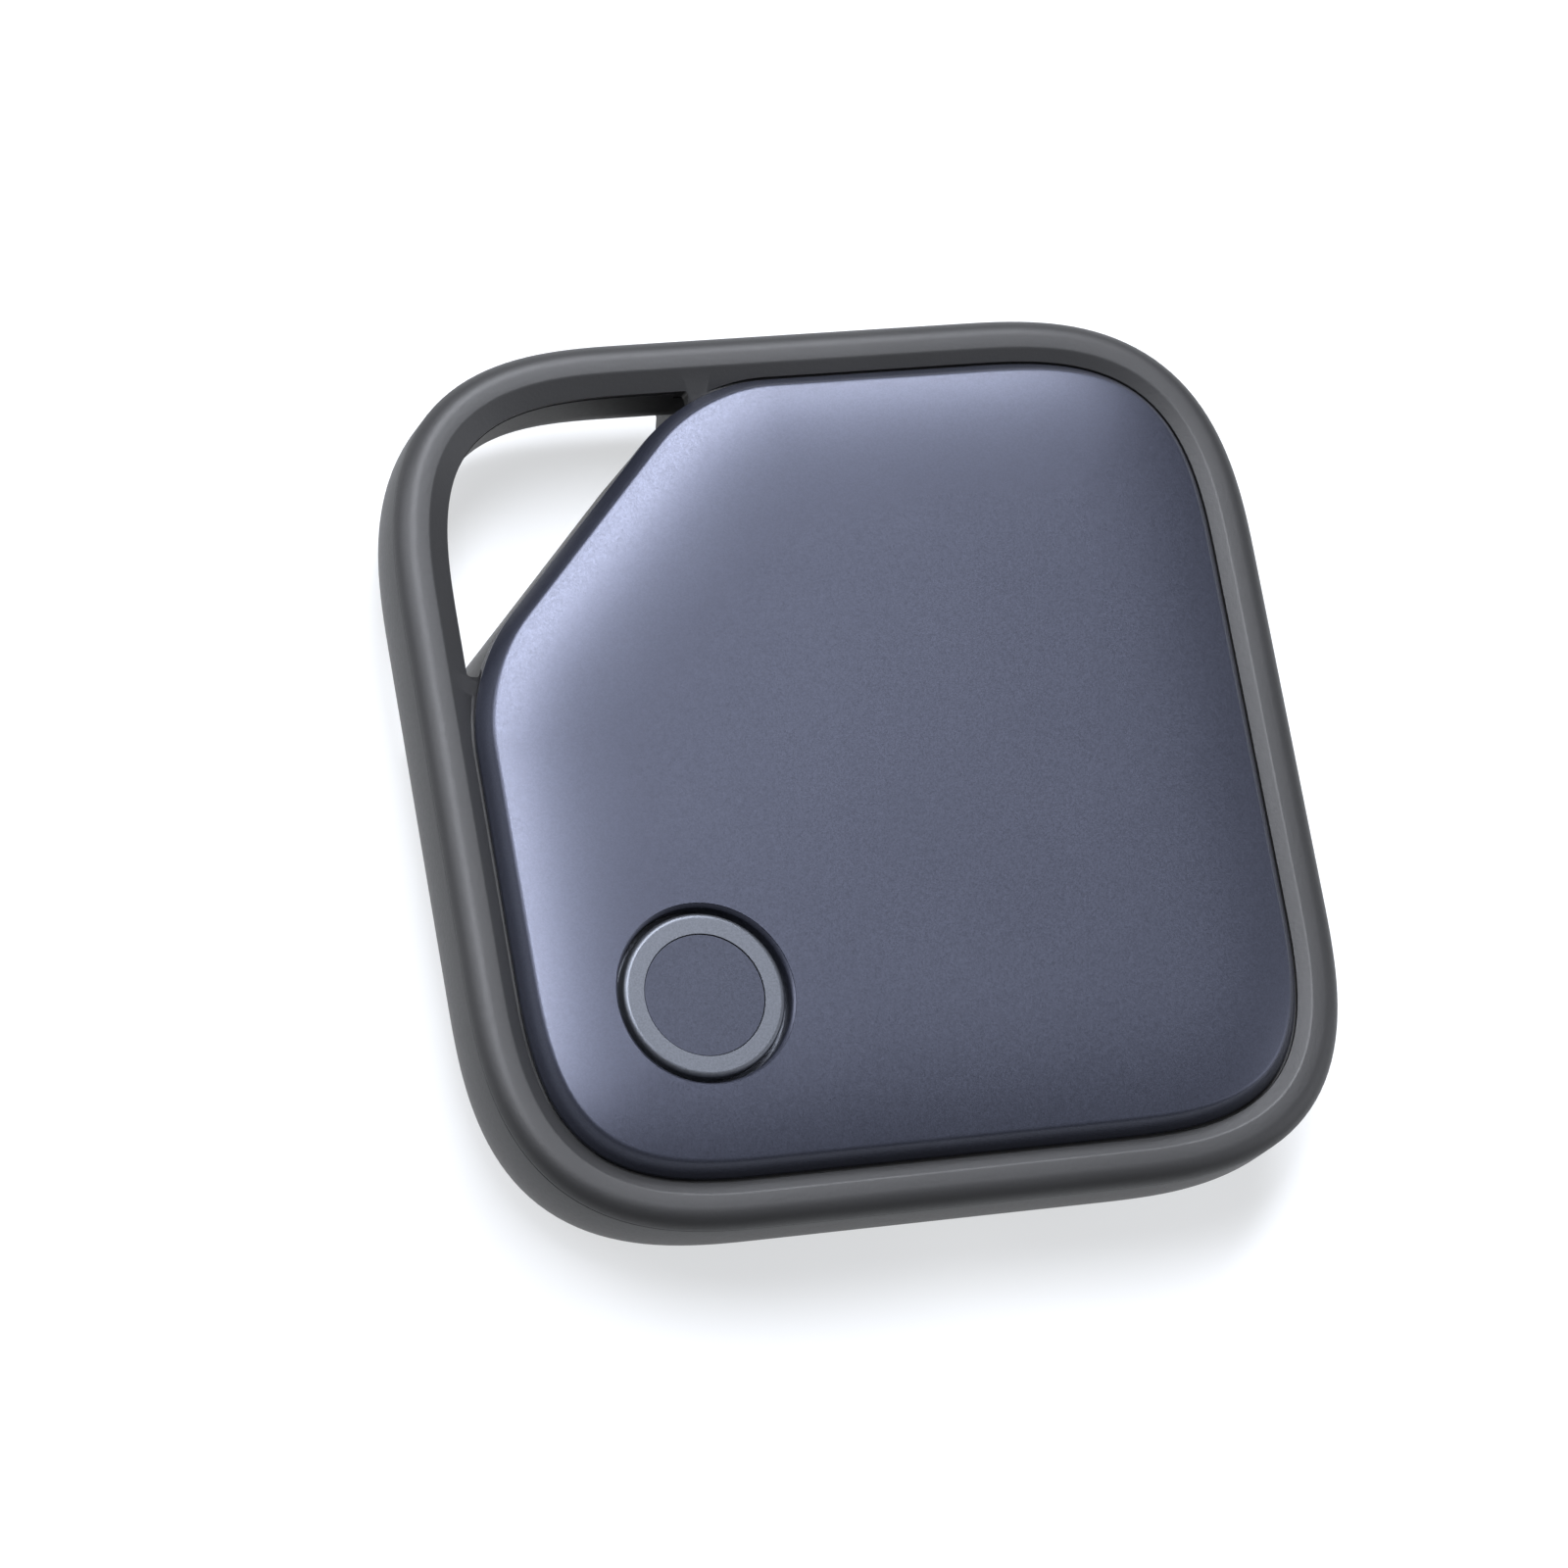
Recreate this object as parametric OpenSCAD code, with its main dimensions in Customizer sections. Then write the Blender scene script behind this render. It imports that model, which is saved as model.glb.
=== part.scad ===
// Bluetooth tracker tag: a rounded square puck with a key ring loop in one corner,
// a painted front cover, a press button and a twist-off cell door at the rear.
// Millimetres. Origin at the middle of the rear face, +Z out through the front cover,
// +Y towards the edge that runs past the loop corner, which is the -X +Y corner.

/* [Outline] */
// Width and height of the square body
body_w = 38; // [36:0.5:46]
// Thickness over the crown of the front cover
body_t = 8; // [7.8:0.1:10]
// Radius of the four corners
corner_r = 8.7; // [7.5:0.1:9.5]
// Thickness of the outer wall of the rear shell at the joint with the frame
wall_t = 1.45; // [1.2:0.05:2]
// Thickness of the floor of the rear shell
floor_t = 1.0; // [0.8:0.1:1.4]

/* [Loop] */
// Width of the loop bar, from the outer edge to the hole
loop_w = 2.25; // [2:0.05:3]
// Inset of the hole's inner side, which runs beside the slanting side of the cover
loop_web = 2.04; // [2.02:0.01:2.06]
// Distance from the centre lines to the two blunted tips of the hole
loop_tip = 5.1; // [4.9:0.05:6.5]

/* [Front frame] */
// Height of the joint between the rear shell and the front frame
seam_z = 6.22; // [6:0.01:6.3]
// Open shadow line left between the rear shell and the front frame
seam_gap = 0.06; // [0.02:0.01:0.1]
// Height of the flat crest of the frame
crest_z = 6.92; // [6.8:0.01:7.1]
// Radius of the rounded outer bead
bead_r = 1.04; // [0.8:0.01:1.3]
// Inset from the outer edge to the start of the flat crest
bead_w = 0.96; // [0.7:0.01:1.0]
// Width of the flat crest
crest_w = 0.46; // [0.3:0.01:0.7]
// Inset from the outer edge to the pocket for the cover
pocket_inset = 1.92; // [1.8:0.01:2.0]
// Height of the ledge that carries the cover
ledge_z = 6.4; // [6.35:0.01:6.45]

/* [Front cover] */
// Inset from the outer edge to the side of the cover
cover_inset = 2.08; // [2:0.01:2.2]
// Inset from the outer edge to the crease at the top of the bevel
crease_inset = 2.58; // [2.4:0.01:2.8]
// Height of the crease
crease_z = 7.55; // [7.4:0.01:7.6]
// Width of the curved band between the crease and the flat middle
pillow_w = 3.9; // [3:0.1:4.2]
// Distance from the centre lines to the ends of the sides that meet the slanting side
cover_turn = 1.61; // [1.4:0.01:1.8]
// Radius of the two wide corners beside the slanting side, at the crease
cover_cut_r = 7.96; // [6:0.02:9]

/* [Button] */
// Distance of the button from both centre lines
button_pos = 9.5; // [9.2:0.1:10]
// Radius of the button well at the cover surface
well_r = 3.83; // [3.7:0.01:4.2]
// Radius of the button cap
cap_r = 3.45; // [3.2:0.01:3.6]
// Radius of the painted disc in the cap
inlay_r = 2.55; // [2:0.01:2.8]
// Stroke of the button
button_stroke = 0.2; // [0.15:0.01:0.2]

/* [Cell and door] */
// Diameter of the coin cell
cell_d = 20; // [16:1:20]
// Height of the coin cell
cell_h = 3.2; // [2.5:0.1:3.2]
// Radius of the door flange
door_r = 12.4; // [12:0.1:13]
// Twist of the door from locked to released
door_twist = 35; // [25:1:40]
// Width of the coin slot
coin_slot_w = 2.0; // [1.6:0.1:2.4]
// Length of the coin slot
coin_slot_l = 15; // [10:0.5:17]

/* [Hidden] */
$fn = 96;

cut_over = 1;
core_overlap = 1;

half = body_w / 2;
straight = half - corner_r;
loop_turn = 135;

// slanting corner of the cover path, with its radius referred to the outer edge
slant_r = cover_cut_r + crease_inset;
slant_near = half - slant_r;
slant_c = [-slant_near, cover_turn];
slant_run = 6;
slant_ease = 0.01;

// rear shell section: two arcs whose centres are joined by a 3-4-5 triangle
belly_side_r = 5.95;
belly_step = 0.7;
belly_edge_r = belly_side_r - 5 * belly_step;
belly_w = belly_side_r - 4 * belly_step;
belly_z = belly_edge_r + 3 * belly_step;
belly_meet_z = 0.4 * belly_edge_r;
shoulder_z = 4.5;
step_z = 2.4;
shelf_z = 5.7;
room_cut = 14.2;
room_inset = 2.6;
room_low_inset = 4.2;
fit_gap = 0.05;

// loop hole
loop_cut = 15.7;
loop_shell_w = loop_w + 0.03;
loop_shell_web = loop_web + 0.03;
loop_shell_tip = loop_tip - 0.5;
loop_flare_z = 4.2;
loop_flare_r = 3.6;
loop_flare_w = 1;

// frame section
slope_in = bead_w + crest_w;
slope_run = loop_w - slope_in;
slope_drop = 0.45;
frame_band = 2.9;
skirt_t = 0.8;
skirt_cut = room_cut - fit_gap;
window_inset = 4.1;
window_cut = 12.9;

// cover section
tape_t = 0.1;
cover_z = ledge_z + tape_t;
bevel_z = cover_z + 0.25;
roof_z = 7.0;
rim_inset = 3.95;
crown_inset = crease_inset + pillow_w;
crown_drop = body_t - crease_z;
crown_r = (pow(pillow_w, 2) + pow(crown_drop, 2)) / (2 * crown_drop);
well_bevel = 0.15;
collar_in_r = cap_r + 1;
collar_r = cap_r + 1.75;
collar_z = 6.6;

// button stack
cap_z = 7.85;
cap_edge_r = 0.2;
flange_r = cap_r + 0.85;
flange_z = collar_z + 0.02;
flange_t = 0.33;
inlay_z = cap_z - 0.05;
inlay_t = 0.45;
seal_t = 0.32;
nub_r = 0.7;

// board stack
board_z = 4.9;
board_t = 0.6;
board_top = board_z + board_t;
board_inset = 4.6;
board_cut = 13.0;
screw_at = [[11.4, -11.4], [11.4, 11.4], [-12.1, -12.1]];
boss_r = 1.6;
screw_r = 0.7;
screw_head_r = 1.15;
screw_head_t = 0.45;
screw_l = 2.8;
screw_slot = 0.3;

// tactile switch
switch_w = 3.0;
switch_base_t = 0.36;
switch_floor_t = 0.06;
switch_wall = 0.35;
switch_frame_t = 0.08;
plunger_r = 0.75;
switch_play = 0.01;
plunger_top = board_top + switch_base_t + switch_frame_t + button_stroke + switch_play;
nub_t = collar_z - seal_t - plunger_top - 2 * switch_play;
plunger_bottom = board_top + switch_base_t - 0.005;
plunger_foot_r = 1.0;
plunger_foot_t = 0.08;

// sounder
piezo_at = [3.0, 2.0];
piezo_r = 6.4;
piezo_t = 0.1;
piezo_glue_t = 0.1;
ceramic_r = 4.6;
ceramic_t = 0.12;
leaf_t = 0.15;

// cell
cell_r = cell_d / 2;
cell_z = 1.22;
cell_top = cell_z + cell_h;
can_t = 0.25;
cell_cap_r = cell_r - 1.15;

// door and its seat
door_t = 1.2;
flange_door_t = 1.0;
hub_r = cell_r + 1.0;
hub_in_r = cell_r + 0.25;
hub_z = 2.2;
lug_r = hub_r + 1.0;
lug_z = 1.6;
lug_t = 0.55;
lug_angle = 30;
lug_count = 3;
entry_angle = lug_angle + 6;
bore_gap = 0.1;
seat_r = 13.7;
seat_z = 3.0;
well_t = 0.9;
well_z = 4.6;
oring_r = 0.215;
oring_z = 0.55;
groove_depth = 0.4;
groove_w = 0.5;
coin_slot_depth = 0.6;
coin_slot_r = (pow(coin_slot_l, 2) / 4 + pow(coin_slot_depth, 2)) / (2 * coin_slot_depth);
mark_r = 0.45;
mark_depth = 0.15;
mark_pos = 14.3;
slot_contact_w = 5;

// ---- paths ----

// every section is drawn with x measured from the outer edge, and reaches in to $reach

module arc_sweep(radius, from, to) {
    $reach = radius - core_overlap / 2;
    $ease = 0;
    rotate_extrude(angle = to - from, start = from)
        translate([radius, 0])
            children();
}

module side_sweep(from, to, out = half, reach = corner_r, ease = 0) {
    $ease = ease;
    $reach = reach - core_overlap / 2;
    translate([out, to, 0])
        rotate([90, 0, 0])
            linear_extrude(to - from)
                children();
}

module corner_sweep() {
    translate([straight, straight, 0])
        arc_sweep(corner_r, 0, 90)
            children();
}

// section swept round the whole outline
module outline_sweep() {
    for (k = [0:3]) {
        rotate([0, 0, 90 * k]) {
            side_sweep(-straight, straight)
                children();
            corner_sweep()
                children();
        }
    }
}

// left half of the slanting corner
module half_slant_sweep() {
    rotate([0, 0, 180])
        side_sweep(-cover_turn, straight)
            children();
    translate([slant_c[0], slant_c[1], 0]) {
        arc_sweep(slant_r, loop_turn, 180)
            children();
        rotate([0, 0, loop_turn])
            side_sweep(-slant_run, 0, slant_r, slant_r, slant_ease)
                children();
    }
}

// section swept round the outline with its loop corner cut off at a slant
module slanted_sweep() {
    for (k = [0, 2, 3])
        rotate([0, 0, 90 * k])
            corner_sweep()
                children();
    for (k = [0, 3])
        rotate([0, 0, 90 * k])
            side_sweep(-straight, straight)
                children();
    half_slant_sweep()
        children();
    mirror([1, 1, 0])
        half_slant_sweep()
            children();
}

// whole outline, inset by d
module outline_plan(d) {
    square([2 * (half - d), 2 * straight], center = true);
    square([2 * straight, 2 * (half - d)], center = true);
    for (k = [0:3])
        rotate(90 * k)
            translate([straight, straight])
                circle(corner_r - d);
}

module half_slant_plan(d) {
    translate([d - half, -straight])
        square([half - d, straight + cover_turn]);
    translate(slant_c) {
        circle(slant_r - d);
        rotate(loop_turn)
            translate([0, -slant_run])
                square([slant_r - d - slant_ease, slant_run]);
    }
}

// outline with the slanting corner, inset by d
module slanted_plan(d) {
    half_slant_plan(d);
    mirror([1, 1])
        half_slant_plan(d);
    polygon(slant_fill);
    translate([-straight, d - half])
        square([2 * straight, half - d]);
    translate([0, -straight])
        square([half - d, 2 * straight]);
    for (k = [0, 2, 3])
        rotate(90 * k)
            translate([straight, straight])
                circle(corner_r - d);
}

fill = straight + core_overlap;
fill_turn = cover_turn + core_overlap;
fill_near = slant_near + core_overlap;
slant_fill = [[-fill, -fill], [fill, -fill], [fill, fill], [-fill_turn, fill],
    [-fill_turn, fill_near], [-fill_near, fill_turn], [-fill, fill_turn]];

// everything nearer to the centre than cut, along the loop diagonal
module below_cut(cut) {
    rotate(loop_turn)
        translate([cut - 2 * body_w, -body_w])
            square([2 * body_w, 2 * body_w]);
}

module cut_plan(d, cut) {
    intersection() {
        outline_plan(d);
        below_cut(cut);
    }
}

module loop_plan(d, web, tip) {
    difference() {
        intersection() {
            outline_plan(d);
            translate([-body_w, tip])
                square([body_w - tip, body_w]);
        }
        slanted_plan(web);
    }
}

module ring(r_out, r_in, z, h) {
    difference() {
        translate([0, 0, z])
            cylinder(r = r_out, h = h);
        translate([0, 0, z - cut_over])
            cylinder(r = r_in, h = h + 2 * cut_over);
    }
}

module wedge(radius, from, to, z, h) {
    translate([0, 0, z])
        rotate([0, 0, from])
            rotate_extrude(angle = to - from)
                square([radius, h]);
}

// ---- enclosure ----

module belly_section() {
    translate([-$reach, belly_z])
        square([$reach, seam_z - belly_z]);
    intersection() {
        translate([-belly_side_r, belly_z])
            circle(belly_side_r);
        translate([-belly_side_r, belly_meet_z])
            square([belly_side_r, belly_z - belly_meet_z]);
    }
    translate([-belly_w, belly_edge_r])
        circle(belly_edge_r);
    translate([-$reach, 0])
        square([$reach - belly_w, belly_z]);
}

// side of the loop hole, which rounds open towards the rear
module loop_side_section() {
    difference() {
        translate([-loop_shell_w - cut_over, -cut_over])
            square([cut_over + loop_flare_w, body_t + 2 * cut_over]);
        translate([-loop_shell_w, loop_flare_z])
            square(body_t + cut_over);
        translate([loop_flare_r - loop_shell_w, loop_flare_z])
            circle(loop_flare_r);
    }
}

module loop_hole() {
    difference() {
        union() {
            translate([0, 0, -cut_over])
                linear_extrude(body_t + 2 * cut_over)
                    loop_plan(loop_shell_w + cut_over / 2, loop_shell_web, loop_shell_tip);
            rotate([0, 0, 90]) {
                side_sweep(loop_shell_tip, straight)
                    loop_side_section();
                corner_sweep()
                    loop_side_section();
            }
            rotate([0, 0, 180])
                side_sweep(-straight, -loop_shell_tip)
                    loop_side_section();
        }
        translate([0, 0, -2 * cut_over])
            linear_extrude(body_t + 4 * cut_over)
                slanted_plan(loop_shell_web);
    }
}

module door_seat_cuts() {
    translate([0, 0, -cut_over])
        cylinder(r = door_r + bore_gap, h = flange_door_t + fit_gap + cut_over);
    cylinder(r = hub_r + bore_gap, h = hub_z + 0.15);
    cylinder(r = cell_r + 0.3, h = body_t);
    for (k = [0:lug_count - 1]) {
        start = 360 / lug_count * k - entry_angle / 2;
        wedge(lug_r + bore_gap, start - door_twist, start - door_twist + entry_angle,
            floor_t / 2, lug_z + lug_t + fit_gap - floor_t / 2);
        wedge(lug_r + bore_gap, start - door_twist, start + entry_angle,
            lug_z - fit_gap, lug_t + 2 * fit_gap);
    }
}

module rear_shell() {
    color("#4a4b4d")
    difference() {
        union() {
            difference() {
                union() {
                    outline_sweep()
                        belly_section();
                    translate([-fill, -fill, 0])
                        cube([2 * fill, 2 * fill, seam_z]);
                }
                translate([0, 0, shelf_z])
                    linear_extrude(body_t)
                        cut_plan(wall_t, loop_cut + 0.04);
                translate([0, 0, shoulder_z])
                    linear_extrude(body_t)
                        cut_plan(wall_t, room_cut);
                translate([0, 0, step_z])
                    linear_extrude(body_t)
                        cut_plan(room_inset, room_cut);
                translate([0, 0, floor_t])
                    linear_extrude(body_t)
                        cut_plan(room_low_inset, room_cut);
            }
            cylinder(r = seat_r, h = seat_z);
            cylinder(r = cell_r + 0.3 + well_t, h = well_z);
            for (p = screw_at)
                translate([p[0], p[1], floor_t / 2])
                    cylinder(r = boss_r, h = board_z - floor_t / 2);
        }
        door_seat_cuts();
        loop_hole();
        for (p = screw_at)
            translate([p[0], p[1], board_top - screw_l - 0.2])
                cylinder(r = screw_r + 0.02, h = body_t);
        translate([0, -slot_contact_w / 2, seat_z])
            cube([seat_r, slot_contact_w, body_t]);
        for (a = [0, door_twist])
            rotate([0, 0, 90 - a])
                translate([mark_pos, 0, -cut_over])
                    cylinder(r = mark_r, h = cut_over + mark_depth);
    }
}

module bead_section() {
    base = seam_z + seam_gap;
    intersection() {
        translate([-bead_w, crest_z - bead_r])
            circle(bead_r);
        translate([-bead_w, base])
            square([bead_w, bead_r]);
    }
    polygon([[-bead_w, base], [-bead_w, crest_z], [-slope_in, crest_z],
        [-slope_in - slope_run, crest_z - slope_drop],
        [-frame_band, crest_z - slope_drop], [-frame_band, base]]);
}

module front_frame() {
    color("#505153")
    difference() {
        union() {
            outline_sweep()
                bead_section();
            translate([0, 0, shelf_z + seam_gap])
                linear_extrude(ledge_z - shelf_z - seam_gap)
                    cut_plan(wall_t + fit_gap, loop_cut);
            difference() {
                translate([0, 0, shoulder_z])
                    linear_extrude(ledge_z - shoulder_z)
                        cut_plan(wall_t + fit_gap, skirt_cut);
                translate([0, 0, shoulder_z - cut_over])
                    linear_extrude(body_t)
                        cut_plan(wall_t + fit_gap + skirt_t, skirt_cut - skirt_t);
            }
        }
        translate([0, 0, ledge_z])
            linear_extrude(body_t)
                slanted_plan(pocket_inset);
        translate([0, 0, -cut_over])
            linear_extrude(2 * body_t)
                cut_plan(window_inset, window_cut);
        linear_extrude(2 * body_t)
            loop_plan(loop_w, loop_web, loop_tip);
    }
}

module cover_tape() {
    color("#1c1c1e")
    translate([0, 0, ledge_z])
        linear_extrude(tape_t)
            difference() {
                intersection() {
                    slanted_plan(cover_inset + 0.25);
                    below_cut(loop_cut - 0.38);
                }
                slanted_plan(rim_inset - 0.05);
            }
}

// $ease draws the section in a little, where two sweeps would share a face
module cover_section() {
    low = cover_z + $ease;
    high = body_t - $ease;
    intersection() {
        translate([-crown_inset, body_t - crown_r])
            circle(crown_r - $ease);
        polygon([[-crown_inset, low], [-cover_inset - $ease, low],
            [-cover_inset - $ease, bevel_z], [-crease_inset - $ease, crease_z],
            [-crease_inset - $ease, high + cut_over], [-crown_inset, high + cut_over]]);
    }
    translate([-$reach, low])
        square([$reach - crown_inset, high - low]);
}

module front_cover() {
    color("#626879")
    difference() {
        union() {
            difference() {
                union() {
                    slanted_sweep()
                        cover_section();
                    translate([0, 0, cover_z])
                        linear_extrude(body_t - cover_z)
                            polygon(slant_fill);
                }
                translate([0, 0, cover_z - cut_over])
                    linear_extrude(roof_z - cover_z + cut_over)
                        slanted_plan(rim_inset);
            }
            translate([-button_pos, -button_pos, collar_z])
                cylinder(r = collar_r, h = roof_z - collar_z);
        }
        translate([-button_pos, -button_pos, 0]) {
            cylinder(r = collar_in_r, h = roof_z);
            cylinder(r = well_r - well_bevel, h = 2 * body_t);
            translate([0, 0, body_t - well_bevel])
                cylinder(r1 = well_r - well_bevel, r2 = well_r, h = well_bevel);
        }
    }
}

// ---- button ----

module button_cap() {
    color("#868a93")
    translate([-button_pos, -button_pos, 0])
        difference() {
            union() {
                translate([0, 0, flange_z])
                    cylinder(r = flange_r, h = flange_t);
                translate([0, 0, flange_z])
                    cylinder(r = cap_r, h = cap_z - cap_edge_r - flange_z);
                cylinder_round();
            }
            translate([0, 0, inlay_z - inlay_t])
                cylinder(r = inlay_r + 0.02, h = body_t);
        }
}

module cylinder_round() {
    rotate_extrude() {
        translate([0, cap_z - 2 * cap_edge_r])
            square([cap_r - cap_edge_r, 2 * cap_edge_r]);
        translate([cap_r - cap_edge_r, cap_z - cap_edge_r])
            circle(cap_edge_r);
    }
}

module button_inlay() {
    color("#6b7183")
    translate([-button_pos, -button_pos, inlay_z - inlay_t])
        cylinder(r = inlay_r, h = inlay_t);
}

module button_seal() {
    color("#2b2b2d")
    translate([-button_pos, -button_pos, collar_z - seal_t]) {
        cylinder(r = collar_r, h = seal_t);
        translate([0, 0, -nub_t])
            cylinder(r = nub_r, h = nub_t + seal_t / 2);
    }
}

// ---- board ----

module main_board() {
    color("#1e4632")
    difference() {
        translate([0, 0, board_z])
            linear_extrude(board_t)
                cut_plan(board_inset, board_cut);
        for (p = screw_at)
            translate([p[0], p[1], 0])
                cylinder(r = screw_r + 0.05, h = body_t);
    }
}

module board_screws() {
    color("#b4b6b8")
    for (p = screw_at)
        translate([p[0], p[1], 0])
            difference() {
                union() {
                    translate([0, 0, board_top])
                        cylinder(r1 = screw_head_r, r2 = screw_head_r - 0.2,
                            h = screw_head_t);
                    translate([0, 0, board_top - screw_l])
                        cylinder(r = screw_r, h = screw_l + screw_head_t / 2);
                }
                for (a = [0, 90])
                    rotate([0, 0, a])
                        translate([-screw_r, -screw_slot / 2,
                            board_top + screw_head_t / 2])
                            cube([2 * screw_r, screw_slot, screw_head_t]);
            }
}

module package(x, y, w, l, h) {
    translate([x - w / 2, y - l / 2, board_top])
        cube([w, l, h]);
}

module bluetooth_chip() {
    color("#232325")
    difference() {
        package(3, -7.5, 5, 5, 0.85);
        translate([1.1, -5.6, board_top + 0.8])
            cylinder(r = 0.25, h = 1);
    }
}

module main_crystal() {
    color("#c8c9cb") {
        package(-1.6, -8.6, 1.6, 2.0, 0.35);
        package(-1.6, -8.6, 1.3, 1.7, 0.5);
    }
}

module clock_crystal() {
    color("#c8c9cb") {
        package(7.6, -8.8, 1.0, 1.6, 0.35);
        package(7.6, -8.8, 0.75, 1.3, 0.5);
    }
}

module chip_antenna() {
    color("#e6e2d6") {
        package(13.1, -1.5, 1.6, 3.2, 1.0);
        package(13.1, -1.5, 1.55, 2.0, 1.1);
    }
}

module motion_sensor() {
    color("#2e2e31")
        package(-7.5, 5.0, 2, 2, 0.95);
}

module board_passives() {
    color("#a08a5c") {
        for (k = [0:4])
            package(-1.2 + 1.9 * k, -12.4, 0.5, 1.0, 0.5);
        for (k = [0:2])
            package(9.6, -8.9 + 1.6 * k, 1.0, 0.5, 0.5);
        for (k = [0:2])
            package(-4.6, -1.0 - 1.6 * k, 1.0, 0.5, 0.5);
        package(12.9, -5.0, 1.0, 0.5, 0.5);
    }
}

// ---- tactile switch ----

module switch_base() {
    color("#d8d4c8")
    translate([-button_pos, -button_pos, board_top])
        rotate([0, 0, 45])
            difference() {
                translate([-switch_w / 2, -switch_w / 2, 0])
                    cube([switch_w, switch_w, switch_base_t]);
                translate([0, 0, switch_floor_t])
                    cylinder(r = switch_w / 2 - switch_wall, h = 1);
            }
}

module switch_frame() {
    color("#bfc1c3")
    translate([-button_pos, -button_pos, board_top + switch_base_t])
        rotate([0, 0, 45])
            difference() {
                translate([-switch_w / 2, -switch_w / 2, 0])
                    cube([switch_w, switch_w, switch_frame_t]);
                translate([0, 0, -cut_over])
                    cylinder(r = plunger_r + 0.05, h = 2 * cut_over);
            }
}

module switch_plunger() {
    color("#35373a")
    translate([-button_pos, -button_pos, plunger_bottom - plunger_foot_t]) {
        cylinder(r = plunger_foot_r, h = plunger_foot_t);
        cylinder(r = plunger_r, h = plunger_top - plunger_bottom + plunger_foot_t);
    }
}

// ---- sounder ----

module piezo_adhesive() {
    color("#d9d7cc")
    translate([piezo_at[0], piezo_at[1], 0])
        ring(piezo_r, piezo_r - 1, roof_z - piezo_glue_t, piezo_glue_t);
}

module piezo_plate() {
    color("#c9a24e")
    translate([piezo_at[0], piezo_at[1], roof_z - piezo_glue_t - piezo_t])
        cylinder(r = piezo_r, h = piezo_t);
}

module piezo_ceramic() {
    color("#e8e6df")
    translate([piezo_at[0], piezo_at[1], roof_z - piezo_glue_t - piezo_t - ceramic_t])
        cylinder(r = ceramic_r, h = ceramic_t);
}

// bent leaf standing on the board, reaching up to height top
module piezo_leaf(x, y, top) {
    rise = top - board_top;
    foot = 1.6;
    translate([x, y + 0.5, board_top])
        rotate([90, 0, 0])
            linear_extrude(1)
                polygon([[-foot, 0], [foot / 2, 0], [foot / 2, leaf_t],
                    [-foot + 2 * leaf_t, leaf_t], [foot / 4, rise - leaf_t],
                    [foot / 2, rise - leaf_t], [foot / 2, rise],
                    [0, rise], [-foot, 2 * leaf_t]]);
}

module piezo_contacts() {
    color("#d2b45a") {
        piezo_leaf(8.3, 2.0, roof_z - piezo_glue_t - piezo_t);
        piezo_leaf(3.0, 0.6, roof_z - piezo_glue_t - piezo_t - ceramic_t);
    }
}

// ---- cell and contacts ----

module cell_can() {
    lip_r = cell_cap_r + 0.35;
    rim = cell_top - 0.2;
    color("#c6c8ca")
    rotate_extrude()
        polygon([[0, cell_z], [cell_r - 0.3, cell_z], [cell_r, cell_z + 0.3],
            [cell_r, rim - 0.35], [cell_r - 0.35, rim], [lip_r, rim],
            [lip_r, rim - can_t], [cell_r - can_t, rim - can_t],
            [cell_r - can_t, cell_z + can_t], [0, cell_z + can_t]]);
}

module cell_gasket() {
    color("#8b8f94")
    ring(cell_cap_r + 0.35, cell_cap_r, cell_top - 0.7, 0.5);
}

module cell_cap() {
    color("#d0d2d4")
    rotate_extrude()
        polygon([[0, cell_top], [cell_cap_r - 0.4, cell_top], [cell_cap_r, cell_top - 0.3],
            [cell_cap_r, cell_top - 0.7], [cell_r - can_t - 0.05, cell_top - 0.7],
            [cell_r - can_t - 0.05, cell_z + can_t + 0.05], [0, cell_z + can_t + 0.05]]);
}

module positive_contact() {
    w = slot_contact_w - 1;
    color("#d2b45a")
    translate([cell_r, w / 2, 0])
        rotate([90, 0, 0])
            linear_extrude(w)
                polygon([[0.02, 3.3], [0.02, 3.8], [0.35, board_z - leaf_t],
                    [0.35, board_z], [2.6, board_z], [2.6, board_z - leaf_t],
                    [0.55, board_z - leaf_t], [0.02 + leaf_t, 3.75],
                    [0.02 + leaf_t, 3.3]]);
}

module negative_contact() {
    low = cell_top + 0.01;
    color("#d2b45a")
    translate([0, 2, 0])
        rotate([90, 0, 0])
            linear_extrude(4)
                polygon([[-6, board_z], [-3.6, board_z], [-3.6, board_z - leaf_t],
                    [1, low + leaf_t], [2.4, low + leaf_t], [3.4, low + 0.3],
                    [3.5, low + 0.2], [2.5, low], [0.9, low],
                    [-3.8, board_z - 1.6 * leaf_t], [-6, board_z - leaf_t]]);
}

module battery_door() {
    color("#47484a")
    difference() {
        union() {
            cylinder(r = door_r, h = flange_door_t);
            cylinder(r = hub_r, h = hub_z);
            for (k = [0:lug_count - 1])
                wedge(lug_r, 360 / lug_count * k - lug_angle / 2,
                    360 / lug_count * k + lug_angle / 2, lug_z, lug_t);
        }
        translate([0, 0, door_t])
            cylinder(r = hub_in_r, h = body_t);
        ring(door_r + cut_over, door_r - groove_depth, oring_z - groove_w / 2, groove_w);
        intersection() {
            translate([0, 0, coin_slot_depth - coin_slot_r])
                rotate([0, 90, 90])
                    translate([0, 0, -coin_slot_w / 2])
                        cylinder(r = coin_slot_r, h = coin_slot_w);
            translate([-coin_slot_l, -coin_slot_w, -cut_over])
                cube([2 * coin_slot_l, 2 * coin_slot_w, 2 * cut_over]);
        }
        translate([0, door_r - 2, -cut_over])
            cylinder(r = mark_r, h = cut_over + mark_depth);
    }
}

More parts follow.
